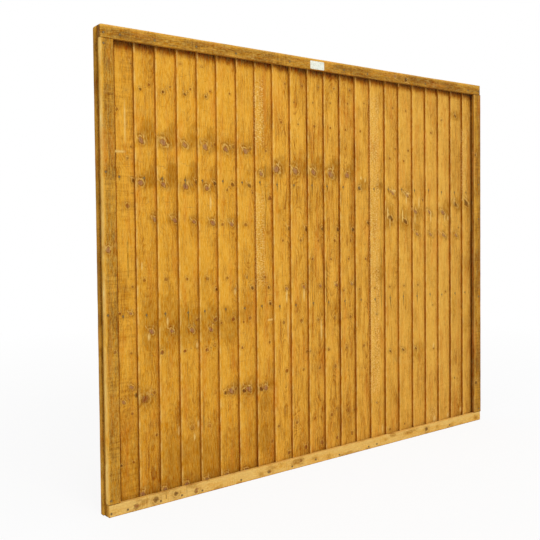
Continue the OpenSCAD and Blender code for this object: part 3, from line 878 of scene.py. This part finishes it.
def wood_material(name, light, deep, colours, far=None):
    """Dipped softwood: pale spring wood that deepens with the dip and with the painted shade
    carried in it, warmer and cooler by clouds, then patches, torn grain, knots, chips (with
    painted highlights on the arrises) and nail stains from the attributes, and a fine bright
    grain. The same maps drive the small bumps and the roughness."""
    n = Nodes(bpy.data.materials.new(name))
    m = wood_maps(n)
    dip_depth(n, m)
    light = linear(light)
    if far is not None:
        light = n.mix(n.span(m.seed, 6, 20), light, linear(far))
    # Past the dip's full depth, the soaked colour: on the sawn ends, and as the painted shadow
    # under the top rail.
    soak_and_shade = n.times(n.maths("SUBTRACT", m.deep, 1.0, clamp=True), 1.1, clamp=True)
    worn = n.times(m.patch, n.span(m.blotch, 0.32, 0.62, 0.15, 0.52))
    lobes = n.span(n.plus(m.patch, n.span(m.blotch, 0.3, 0.7, -0.32, 0.32)), 0.42, 0.58)
    fuzz = n.times(m.torn, n.span(m.tear, 0.50, 0.62), clamp=True)
    split = n.times(m.torn, n.span(m.tear, 0.44, 0.32), clamp=True)
    # Pale chips and slivers, with the painted highlights along the arrises that ride in the chip
    # part.
    sliver_and_highlight = n.times(m.chip, n.span(m.fibre, 0.2, 0.6, 0.55, 1.2), clamp=True)
    dark = n.times(m.stain, n.span(m.streak, 0.3, 0.6, 0.45, 1.0), clamp=True)
    colour = n.paint(
        light,
        (n.plus(m.deep, 0.0, clamp=True), deep),
        (n.span(m.warm, 0.52, 0.68, 0.0, 0.38), REDDISH),
        (n.span(m.warm, 0.46, 0.32, 0.0, 0.30), OCHRE),
        # Soaked ends, and the painted shadow under the top rail.
        (soak_and_shade, colours.soaked_and_shaded),
        # Paler where the depth falls below -0.35: pale wood, and on the battens' near arris the
        # painted highlight.
        (n.span(m.deep, -0.35, -1.25), colours.pale),
        (n.plus(worn, n.times(lobes, 0.22), clamp=True), colours.olive),
    )
    colour = n.mix(n.times(m.patch, -0.6, clamp=True), colour, light)
    colour = n.paint(
        colour, (n.times(fuzz, 0.80), TORN_PALE), (n.times(split, 0.55), colours.olive))
    colour = n.paint(
        paint_knots(n, m, colour, colours),
        # Pale slivers, partly painted highlights along the arrises.
        (sliver_and_highlight, colours.pale),
        # Bare wood, and at the left stile's arris the brightest of its painted highlight.
        (n.span(m.chip, 1.0, 1.6), colours.bare),
        (n.times(dark, 0.9), colours.stain),
    )
    grains = n.plus(
        n.span(m.crisp, 0.0, 1.0, -0.34, 0.34), n.span(m.grit, 0.0, 1.0, -0.22, 0.22))
    grains = n.times(grains, n.span(m.saw, 0.3, 0.8, 1.0, 0.55))
    glint = n.add("ShaderNodeVectorMath", {0: GLINT, "Scale": grains}, operation="SCALE")
    colour = n.vector("MAXIMUM", n.vector("ADD", colour, glint.outputs[0]), DARKEST)

    heights = n.plus(
        n.times(m.fibre, 0.9), n.times(m.late, 0.25), n.times(m.sawn, -0.5),
        n.times(m.speck, 0.5), n.times(m.tear, m.torn, 1.8), n.times(m.inside, -0.4),
    )
    n.shader.inputs["Specular IOR Level"].default_value = 0.08
    return n.finish(colour, n.span(m.late, 0.0, 1.0, 0.86, 0.72), heights, 0.5, 0.0009)


def zinc_material(colours):
    """Weathered zinc: blotches of grey, with rust-brown dirt in the hollows of the noise."""
    n = Nodes(bpy.data.materials.new("Weathered zinc"))
    place = n.place()
    blotch, dirt = n.noise(place, 700, 4.0), n.noise(place, 260, 3.0)
    colour = n.paint(
        linear(colours.zinc),
        (n.span(blotch, 0.35, 0.65), ZINC_DIRT),
        (n.span(dirt, 0.52, 0.70, 0.0, 0.7), ZINC_RUST),
    )
    n.shader.inputs["Metallic"].default_value = 0.1
    return n.finish(colour, n.span(blotch, 0.3, 0.7, 0.45, 0.7), blotch, 0.4, 0.0003)


def label_material(colours):
    """Blank pale label: faint grey-green mottling and small creases."""
    n = Nodes(bpy.data.materials.new("Blank label"))
    place = n.place()
    mottle = n.noise(place, 130, 4.0, 0.6)
    crease = n.noise(n.vector("MULTIPLY", place, (0.5, 1.0, 1.6)), 60, 3.0)
    cover = n.span(mottle, 0.45, 0.68, 0.0, 0.55)
    colour = n.paint(linear(colours.label), (cover, LABEL_MOTTLE))
    return n.finish(colour, n.span(mottle, 0.3, 0.7, 0.4, 0.6), crease, 0.3, 0.0006)


def dress_node(node, material):
    """Gives a CAD node that stays in view its material."""
    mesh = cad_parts[node].data
    mesh.materials.clear()
    mesh.materials.append(material)


# Pieces


def shown_strips():
    """Left and right limit (mm) of each board's shown strip, from its own left edge to the
    next board's, or to the inner edge of the front stile."""
    lefts = [board_corners(f"board_{i + 1:02d}")[0][0] for i in range(BOARD_COUNT)]
    left_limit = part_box("front_left_stile")[1].x / MM
    right_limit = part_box("front_right_stile")[0].x / MM
    starts = np.maximum(lefts, left_limit)
    return list(zip(starts, [*lefts[1:], right_limit]))


def board_knots(number, left, strip):
    """Knots of one board as (place across, height, radius, kind, slant): those of the limbs
    that cross it, whose height and place run evenly from the first board to the last, and
    its own. The radius differs a little from board to board."""
    start, stop = strip
    own = [(board, board, up, up, at, at, *rest) for board, up, at, *rest in KNOTS]
    lean = RIGHT_LEAN if number > MIDDLE_BOARDS[1] else LEFT_LEAN
    knots = []
    for first, last, low, high, near, far, radius, kind in (*LIMBS, *own):
        if first <= number <= last:
            share = (number - first) / max(last - first, 1)
            place = start - left + (stop - start) * (near + (far - near) * share)
            size = radius * (1 + 0.12 * math.sin(number * 2.4 + low))
            slant = SLANTS.get(kind, 0.0) * lean
            knots.append((place, low + (high - low) * share, size, kind, slant))
    return knots


def board_marks(number, across, along, low, base, shown):
    """Chips, torn strips, cracks and patches of one board, from the tables. A chip or patch
    is a soft ellipse, a torn strip a soft rectangle, a crack a soft line that wanders."""
    def rows_of(table):
        return [rest for board, *rest in table if board == number]

    chips, torn, cracks, patch = (np.zeros_like(across) for _ in range(4))
    up = along + low
    for place, height, half_width, half_height in rows_of(CHIPS):
        da = (across - base - place * shown) / half_width
        chips = np.maximum(chips, soft_spot(da, (up - height) / half_height))
    for place, height, half_width, half_height, strength in rows_of(PATCHES):
        da = (across - base - place * shown) / (half_width * shown)
        patch = patch + strength * soft_spot(da, (up - height) / half_height)
    for near, far, bottom, top, strength in rows_of(TORN):
        inside = between(across - base, near * shown, far * shown, 6)
        torn = np.maximum(torn, strength * inside * between(up, bottom, top, 30))
    for place, bottom, top in rows_of(CRACKS):
        line = place * shown + base + 1.6 * wander(along, number * 101 + 9, 160)
        gap = unit(1.2 - np.abs(across - line) / 2.4)
        cracks = np.maximum(cracks, gap * between(up, bottom, top, 12))
    return chips, torn, cracks, patch


def board_stain(number, across, along, spots):
    """Blue-black stain of a board's nails: a drop that runs down from each nail for its
    reach, and a paler ring round it. The upper nail comes first in the table."""
    stain = np.zeros_like(across)
    reaches = STAIN_REACH.get(number, SHORT_STAIN)
    for (place, height), reach in zip(sorted(spots, key=lambda s: -s[1]), reaches):
        below = (height - along) / reach
        drop = fall(np.abs(below - 0.25), 0.95) ** 0.7
        spread = unit(1.35 - np.abs(across - place - 0.8) / 2.7)
        stain = np.maximum(stain, drop * spread)
        stain = np.maximum(stain, 0.45 * nail_ring(across, along, (place, height), 1.6))
    return stain


def board_dip_and_shade(number, across, along, share, shown, height, from_rail, front, near_side):
    """How much darker a place is: more dip towards the lapped side and less at the thick edge's
    arris, a gradient across the face that is partly dye and partly painted light and shade; a
    painted shadow in the strip beside the next board; more dip on the sawn edge and ends; a
    painted shadow under the top rail; painted shade beside the left stile; and on the last
    board, darker towards the right stile."""
    seed = number * 101
    swing = 0.08 * wander(along, seed + 12, 600)
    # Partly dye, partly painted shade from the next board's edge: deeper towards the lapped
    # side.
    dip = 0.06 * unit((share - 0.45 - swing) / 0.45)
    # Painted shadow in the strip beside the next board's thick edge.
    dip = dip + 0.35 * unit(1 + (across - shown) / 2)
    # Paler at the thick edge's arris: partly dye, partly painted light.
    dip = dip - 0.16 * fall(share, 0.35) * front
    dip = dip + (0.35 + 0.018 * number) * near_side + 0.9 * end_soak(along, height)
    # Painted shadow under the top rail.
    dip = dip + 1.5 * fall(from_rail - along, 30) * front
    # Painted shade in the corner beside the left stile.
    if number == 1:
        dip = dip + 1.4 * fall(across - 11, 3.5) * front
    if number == BOARD_COUNT:
        dip = dip + 0.30 * unit((share - 0.3) / 0.7) * front
    return dip


def board_piece(number, strip, heads, sizes, material):
    """One feather-edge board: its CAD section carried up its height. The front is dished
    by a shallow ripple, chips and nail hollows are let into it, and the thick edge is
    nicked by a curve that only bites inwards."""
    node = f"board_{number:02d}"
    corners = board_corners(node)
    low, high = corners[0][2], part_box(node)[1].z / MM
    width = np.linalg.norm(corners[1] - corners[0])
    thick = np.linalg.norm(corners[3] - corners[0])
    left, (start, stop) = corners[0][0], strip
    base, shown = start - left, stop - start
    seed = number * 101
    spots = [(x - left, z - low) for x, _, z in heads if start - 4 < x < stop + 4]
    rows = refined(0, high - low, sizes.row_step / MM, [z for _, z in spots])
    columns = refined(0, width, sizes.column_step / MM, [x for x, _ in spots]) / width
    along = rows[:, None]
    arris = sizes.arris / MM * (1.1 + 0.7 * wander(along, seed + 4, 130))
    arris = np.clip(arris, 0.3, 2.2)
    radii = ((arris, arris), (0.4, 0.4), (0.4, 0.4), (0.6, 0.6))
    across, depth, out_a, out_d = section(len(rows), width, thick, radii, columns, (4, 8))
    along = along + 0 * across
    front, near_side = unit(-out_d), unit(-out_a)

    chips, torn, cracks, patch = board_marks(number, across, along, low, base, shown)
    growth = rings_of_growth(across, depth, along, seed, sizes.ring_width / MM)
    knots = board_knots(number, left, strip)
    offset, growth = nearest_knot(across, along + low, growth, knots)
    for place, height, radius, kind, _ in knots:
        if kind == RINGED and radius > 6:
            da = (across - place - 0.25 * shown) / (0.55 * shown)
            dl = (along + low - height - 1.2 * radius) / (3.4 * radius)
            strength = 0.35 if number > MIDDLE_BOARDS[1] else 0.75
            patch = patch + strength * soft_spot(da, dl)

    dish, fine = dents(across, along, seed + 5, 50, 260), dents(across, along, seed + 6, 9, 24)
    relief = sizes.relief / MM * (0.55 * dish + (0.45 + 1.1 * torn) * fine)
    let_in = hollows(across, along, spots, sizes)
    in_knot = unit(1.2 - np.hypot(offset[..., 0], offset[..., 1]))
    relief = relief + front * (0.9 * chips + 0.9 * cracks + 0.35 * in_knot)
    relief = np.maximum(relief, front * let_in + 0.3 * relief * (let_in > 0))
    nick = unit(wander(along, seed + 7, 90, 7) - 0.15) ** 1.5
    nick = nick + 0.3 * (0.5 + 0.5 * wander(along + depth * 3, seed + 8, 26, 4))
    edge_nick = near_side * sizes.ragged_edge / MM * nick
    # Pale flecks along the thick edge's arris: chipped wood and partly a painted highlight on
    # that arris.
    fleck_and_highlight = 0.35 + 0.5 * wander(along, seed + 13, 70, 7)
    fleck_and_highlight = np.clip(fleck_and_highlight, 0, 0.7) * unit(1.4 - across / 6) * front
    chips = np.maximum(chips, fleck_and_highlight) * (out_d < 0.5)
    across = across - out_a * relief + edge_nick
    depth = depth - out_d * relief * (1 - 0.5 * across / width)
    points = place_section(corners, np.array([0, 0, 1.0]), across, depth, along, width, thick)

    stain = np.maximum(board_stain(number, across, along, spots), 0.8 * cracks)
    share = unit((across - base) / shown)
    from_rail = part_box("front_top_rail")[0].z / MM - low
    # The dip, with painted shadow under the top rail and beside each seam, and painted shade
    # beside the left stile.
    dip = board_dip_and_shade(number, across - base, along, share, shown, high - low, from_rail,
                    front, near_side)
    saw = 0.10 + 0.25 * wander(along, seed + 10, 380) + (0.45 if number == 1 else 0.0)
    tone = BOARD_TONES[number - 1] + 0.07 * wander(along, seed + 11, 500)
    foot = 0.34 if number < MIDDLE_BOARDS[0] else 0.10
    tone = tone + foot * fall(along + low, 330)
    sawn_piece(
        node, points, offset, material, "board_wood",
        grain=(growth, number, tone),
        mark=(stain, chips, patch),
        wear=(torn, unit(saw) * front, dip),
        run=(across * MM, depth * MM, along * MM),
    )


def worn_corner(along, length, near_side, corner):
    """How far (mm) a worn corner bites into the near side: the side's offset from the
    corner less the quarter circle about the corner's middle, near the end where it is."""
    if corner is None:
        return 0.0 * along
    at_head, radius, inset = corner
    from_end = length - along if at_head else along
    rise = np.clip(radius - (from_end + (0 if near_side else inset)), 0, radius)
    bite = radius - np.sqrt(radius**2 - rise**2)
    return np.clip(bite - (inset if near_side else 0), 0, None)


def wane_radii(along, sizes, varies, seed, spans, end=None):
    """Radii across and in depth of a waney arris: a part of each size varies along the
    piece, and towards an end, where there is one, both fade to nothing."""
    fade = 1.0 if end is None else unit((end - along) / WANE_FADE) ** 0.7
    return tuple(
        np.clip(size * fade * (1 - varies + varies * wander(along, seed + i, span)), 0.3, None)
        for i, (size, span) in enumerate(zip(sizes, spans))
    )


def batten_piece(node, heads, sizes, material, look, wane=None, corner=None):
    """One sawn batten: a rectangle with worn arrises carried along its length, with the
    same ripples and nail hollows as a board. wane is what wane_radii needs for its front
    near arris, and corner what worn_corner needs."""
    upright = node.endswith(("stile", "strip"))
    low, high = (np.array(corner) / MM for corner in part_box(node))
    corners = box_corners(low, high, upright)
    direction = np.array([0, 0, 1.0]) if upright else np.array([1.0, 0, 0])
    length = (high - low)[2 if upright else 0]
    width = np.linalg.norm(corners[1] - corners[0])
    thick = np.linalg.norm(corners[3] - corners[0])
    side = (corners[1] - corners[0]) / width
    seed = sum(ord(letter) for letter in node) * 7
    spots = [((p - corners[0]) @ side, (p - corners[0]) @ direction) for p in heads]
    rows = refined(0, length, BATTEN_ROWS, [l for _, l in spots])
    rows = np.unique(np.concatenate([rows, END_ROWS, length - END_ROWS]))
    rows = rows[np.concatenate([[True], np.diff(rows) > ROW_GAP])]
    step = sizes.batten_step / MM if spots else PLAIN_COLUMNS
    columns = np.linspace(0, 1, int(width / step) + 1)
    along = rows[:, None]
    radii = [(0.9 + 0.4 * wander(along, seed + k, 170),) * 2 for k in range(4)]
    if wane:
        radii[0] = wane_radii(along, *wane)
    across, depth, out_a, out_d = section(len(rows), width, thick, radii, columns, (5, 9))
    along = along + 0 * across
    front, near_side = unit(-out_d), unit(-out_a)

    growth = rings_of_growth(across, depth, along, seed, sizes.ring_width / MM * 0.8, 0.8)
    knots = [
        (place * width, share * length, radius, kind, 0.0)
        for share, place, radius, kind in FRAME_KNOTS.get(node, ())
    ]
    offset, growth = nearest_knot(across, along, growth, knots)
    dish, rough = dents(across, along, seed + 5, 40, 200), dents(across, along, seed + 6, 8, 22)
    relief = sizes.relief / MM * (0.7 * dish + 0.6 * rough)
    relief = np.maximum(relief, front * hollows(across, along, spots, sizes))
    bite = worn_corner(along, length, upright, corner)
    across = bite + across * (1 - bite / width)
    across_in, depth_in = across - out_a * relief, depth - out_d * relief
    points = place_section(corners, direction, across_in, depth_in, along, width, thick)

    stain = np.zeros_like(across)
    for spot in spots:
        stain = np.maximum(stain, look.rings * nail_ring(across, along, spot, 1.8))
    blot = ripple(across, along, seed + 12, 60, 110)
    patch = unit(1.4 * blot - 0.3) * look.patches
    streaks = ripple(across, along, seed + 13, 26, 70)
    arris = unit(1.5 - across / 6.0) * (0.55 + 0.45 * wander(along, seed + 14, 300))
    front_half, far_edge = depth < thick / 2, unit(1.5 - (width - across) / 2.5)
    chips = look.chips * unit(streaks - 0.75)
    chips = chips + look.pale * unit(0.6 + 0.5 * streaks)
    # Bare wood on the near arris, partly a painted highlight there.
    chips = np.maximum(chips, look.worn * unit(arris) * front_half)
    chips = chips * (1 - far_edge * min(look.under, 1.0))
    tone = look.tone + 0.12 * wander(along, seed + 11, 400)
    tone = tone + look.slope * (along / length - 0.5) + 0.16 * look.patches * blot
    dip = 1.1 * end_soak(along, length) + look.side * near_side
    # A paler near edge where look.edge is below 0: a painted highlight along the near arris.
    edge = look.edge * front_half * (1 - (look.side > 0.2) * near_side)
    dip = dip + edge * unit(1.6 - across / 9.0) + look.under * far_edge * front
    saw = unit(0.4 + 0.5 * wander(along, seed + 10, 300)) * front
    sawn_piece(
        node, points, offset, material, "frame_wood",
        grain=(growth, seed % 37, tone),
        mark=(stain, chips, patch),
        wear=(look.torn, saw, dip),
        run=(across * MM, depth * MM, along * MM),
    )


# Operators


class FENCE_OT_boards(bpy.types.Operator):
    """Saws the feather-edge boards and lets them stand for the CAD boards"""

    bl_idname = "fence.boards"
    bl_label = "Boards"

    def execute(self, context):
        sizes, colours = context.scene.fence_sizes, context.scene.fence_colours
        material = wood_material(
            "Dipped board", colours.board_light, colours.board_deep, colours, colours.board_far
        )
        rows = ("upper_row_nails", "lower_row_nails")
        heads = np.concatenate([nail_heads(node, 0) for node in rows])
        strips = shown_strips()
        if len(strips) != BOARD_COUNT or BOARD_COUNT == 0:
            raise RuntimeError("The frame holds no boards to dress")
        for number, strip in enumerate(strips, start=1):
            board_piece(number, strip, heads, sizes, material)
        return {"FINISHED"}


class FENCE_OT_front_trim(bpy.types.Operator):
    """Saws the front rails and stiles, with the waney edges of the top rail and left stile"""

    bl_idname = "fence.front_trim"
    bl_label = "Front trim"

    def execute(self, context):
        sizes, colours = context.scene.fence_sizes, context.scene.fence_colours
        material = wood_material("Sawn trim", colours.frame_light, colours.frame_deep, colours)
        rail_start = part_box("front_top_rail")[0].x / MM
        wane_end = board_corners(f"board_{BOARD_COUNT:02d}")[0][0] - rail_start
        wanes = {
            "front_top_rail": ((9.0, 7.0), 0.15, 5, (500, 400), wane_end),
            "front_left_stile": ((10.0, 10.0), 0.12, 7, (420, 360)),
        }
        corners = {
            "front_top_rail": (False, TOP_CORNER, rail_start - CAD_BOX[0].x / MM),
            "front_left_stile": (False, FOOT_CORNER, 0.0),
        }
        for node, (nails, look) in TRIM.items():
            heads = nail_heads(nails, 2 if node.endswith("stile") else 0)
            batten_piece(node, heads, sizes, material, look, wanes.get(node), corners.get(node))
        return {"FINISHED"}


class FENCE_OT_back_frame(bpy.types.Operator):
    """Saws the battens of the back frame and the strip at the left edge"""

    bl_idname = "fence.back_frame"
    bl_label = "Back frame"

    def execute(self, context):
        sizes, colours = context.scene.fence_sizes, context.scene.fence_colours
        material = wood_material("Sawn back", colours.frame_light, colours.frame_deep, colours)
        for node in sorted(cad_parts):
            if node.startswith("back_") or node == EDGE_STRIP:
                corner = None
                if node in EDGE_LOOKS:
                    corner = (True, TOP_CORNER, (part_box(node)[0].x - CAD_BOX[0].x) / MM)
                look = EDGE_LOOKS.get(node, BattenLook())
                batten_piece(node, [], sizes, material, look, corner=corner)
        return {"FINISHED"}


class FENCE_OT_nails(bpy.types.Operator):
    """Gives the nails their weathered zinc"""

    bl_idname = "fence.nails"
    bl_label = "Nails"

    def execute(self, context):
        material = zinc_material(context.scene.fence_colours)
        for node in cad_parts:
            if node.endswith("_nails"):
                dress_node(node, material)
        return {"FINISHED"}


class FENCE_OT_label(bpy.types.Operator):
    """Gives the blank label its mottled paper"""

    bl_idname = "fence.label"
    bl_label = "Label"

    def execute(self, context):
        dress_node("label", label_material(context.scene.fence_colours))
        return {"FINISHED"}


class FENCE_OT_stage(bpy.types.Operator):
    """Lays the floor and sets the world, the lamps and the camera"""

    bl_idname = "fence.stage"
    bl_label = "Studio"

    def execute(self, context):
        scene = context.scene
        studio, colours = scene.fence_studio, scene.fence_colours
        self.lay_floor(scene, studio.floor_half, colours.floor)
        self.set_world(scene, studio.sky)
        self.hang_lamp("Key", KEY_LAMP, studio.key_power)
        self.hang_lamp("Overhead", TOP_LAMP, studio.fill_power)
        self.set_camera(scene, studio)
        scene.view_settings.view_transform = "Standard"
        return {"FINISHED"}

    def lay_floor(self, scene, half, colour):
        """A square at height 0 that shows white to the camera and keeps a faint shadow."""
        share = np.array([(-1, -1, 0), (1, -1, 0), (1, 1, 0), (-1, 1, 0)], float) * half
        mesh = bpy.data.meshes.new("floor")
        mesh.from_pydata(share.tolist(), [], [(0, 1, 2, 3)])
        n = Nodes(bpy.data.materials.new("Pale floor"))
        n.shader.inputs["Base Color"].default_value = linear(colour)
        n.shader.inputs["Roughness"].default_value = 0.9
        glow = n.add("ShaderNodeEmission", {"Color": (1, 1, 1, 1), "Strength": 1.0})
        away = n.add("ShaderNodeVectorMath", {0: n.place()}, operation="LENGTH")
        cover = n.times(self.seen(n), n.span(away.outputs["Value"], 1.2, 4.0, 0.88, 1.0))
        mix = n.add("ShaderNodeMixShader", {
            0: cover, 1: n.shader.outputs[0], 2: glow.outputs[0],
        })
        n.join(mix.outputs[0], n.tree.nodes["Material Output"].inputs["Surface"])
        mesh.materials.append(n.owner)
        floor = bpy.data.objects.new("floor", mesh)
        scene.collection.objects.link(floor)

    def seen(self, n):
        """1 for rays that show the background: camera, glossy and transmission rays."""
        path = n.add("ShaderNodeLightPath").outputs
        rays = (path[f"Is {kind} Ray"] for kind in ("Camera", "Glossy", "Transmission"))
        return n.maths("MAXIMUM", *rays)

    def set_world(self, scene, sky):
        """Even light all round, and white where the background shows."""
        n = Nodes(bpy.data.worlds.new("Studio"))
        background = n.tree.nodes["Background"]
        background.inputs["Color"].default_value = (1, 1, 1, 1)
        strength = n.plus(n.times(self.seen(n), 1.0 - sky), sky)
        n.join(strength, background.inputs["Strength"])
        scene.world = n.owner

    def hang_lamp(self, name, setting, power):
        """A square lamp that faces the middle of the panel."""
        place, side = Vector(setting[0]), setting[1]
        lamp = bpy.data.lights.new(name, "AREA")
        lamp.shape, lamp.size, lamp.energy = "SQUARE", side, power
        made = bpy.data.objects.new(name, lamp)
        turn = ((CAD_BOX[0] + CAD_BOX[1]) / 2 - place).to_track_quat("-Z", "Y")
        made.matrix_world = Matrix.Translation(place) @ turn.to_matrix().to_4x4()
        bpy.context.scene.collection.objects.link(made)

    def set_camera(self, scene, studio):
        """The view line from yaw and pitch, with the frame rolled about it."""
        ahead = Vector((
            math.sin(studio.yaw) * math.cos(studio.pitch),
            math.cos(studio.yaw) * math.cos(studio.pitch),
            math.sin(studio.pitch),
        ))
        right = Vector((math.cos(studio.yaw), -math.sin(studio.yaw), 0))
        up = right.cross(ahead)
        c, s = math.cos(studio.roll), math.sin(studio.roll)
        rolled_right, rolled_up = c * right + s * up, -s * right + c * up
        turn = Matrix((rolled_right, rolled_up, -ahead)).transposed().to_4x4()
        camera = bpy.data.cameras.new("Camera")
        camera.sensor_width, camera.lens = 36.0, studio.lens
        camera.shift_y = studio.rise
        made = bpy.data.objects.new("Camera", camera)
        made.matrix_world = Matrix.Translation(Vector(studio.eye)) @ turn
        scene.collection.objects.link(made)
        scene.camera = made


STEPS = (
    FENCE_OT_boards,
    FENCE_OT_front_trim,
    FENCE_OT_back_frame,
    FENCE_OT_nails,
    FENCE_OT_label,
    FENCE_OT_stage,
)


class FENCE_PT_panel(bpy.types.Panel):
    """Lists the pieces of the fence panel and their sizes and colours"""

    bl_idname = "FENCE_PT_panel"
    bl_label = "Fence panel"
    bl_space_type = "VIEW_3D"
    bl_region_type = "UI"
    bl_category = "Fence"

    def draw(self, context):
        for step in STEPS:
            self.layout.operator(step.bl_idname)
        for group in GROUPS:
            values = getattr(context.scene, group)
            for name in values.__annotations__:
                self.layout.prop(values, name)


GROUPS = {
    "fence_sizes": FenceSizes,
    "fence_colours": FenceColours,
    "fence_studio": FenceStudio,
}


def register():
    for group in (*GROUPS.values(), *STEPS, FENCE_PT_panel):
        bpy.utils.register_class(group)
    for name, group in GROUPS.items():
        setattr(bpy.types.Scene, name, PointerProperty(type=group))


def unregister():
    for name in GROUPS:
        delattr(bpy.types.Scene, name)
    for group in reversed((*GROUPS.values(), *STEPS, FENCE_PT_panel)):
        bpy.utils.unregister_class(group)


def main():
    register()
    for step in STEPS:
        area, name = step.bl_idname.split(".")
        getattr(getattr(bpy.ops, area), name)()


if __name__ == "__main__":
    main()
